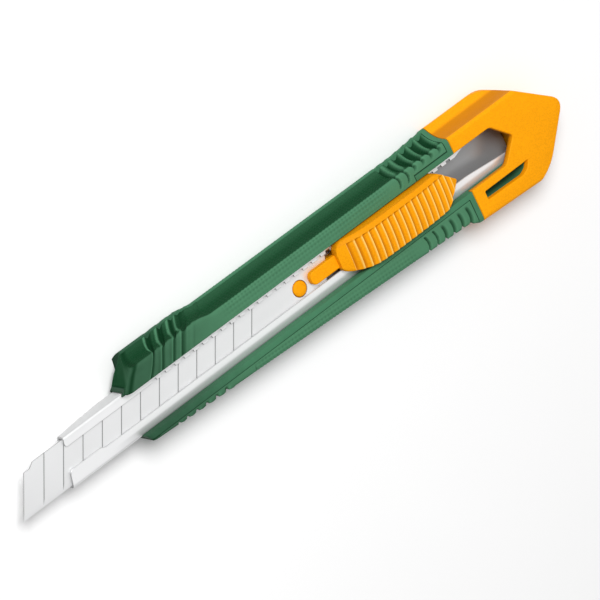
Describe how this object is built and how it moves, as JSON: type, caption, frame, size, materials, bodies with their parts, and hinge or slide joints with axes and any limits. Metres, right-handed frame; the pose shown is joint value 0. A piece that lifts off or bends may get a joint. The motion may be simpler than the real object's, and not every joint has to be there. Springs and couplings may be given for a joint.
{
  "type": "utility knife",
  "caption": "Slim snap-off utility knife with a soft-gripped handle, a folded steel blade channel, a ribbed thumb slider and a pointed pull-off tail cap.",
  "frame": {"origin": "on the handle's flat back, under the blade's centre line and under the peg that holds the blade", "axes": "+X from the blade's point to the tail, +Y to the blade's spine, +Z out of the face that carries the slider"},
  "size_m": [0.1505, 0.0238, 0.012],
  "materials": {
    "core_green": "satin moulded hard plastic",
    "grip_green": "soft-touch overmould, fine matt",
    "channel_steel": "bright rolled sheet",
    "blade_steel": "fine ground, bright",
    "spring_steel": "satin spring strip",
    "amber_plastic": "satin moulded hard plastic"
  },
  "bodies": {
    "handle": {"handle_core": "core_green", "upper_grip": "grip_green", "lower_grip": "grip_green", "blade_channel": "channel_steel"},
    "slider": {"blade": "blade_steel", "blade_carrier": "amber_plastic", "lock_spring": "spring_steel", "thumb_pad": "amber_plastic"},
    "cap": {"tail_cap": "amber_plastic"}
  },
  "joints": [
    {"name": "blade_slide", "type": "slide", "parent": "handle", "child": "slider", "axis": [-1, 0, 0], "range_m": [-0.015, 0.045], "deforming": ["lock_spring"]},
    {"name": "cap_pull", "type": "slide", "parent": "handle", "child": "cap", "axis": [1, 0, 0], "range_m": [0, 0.03]}
  ]
}
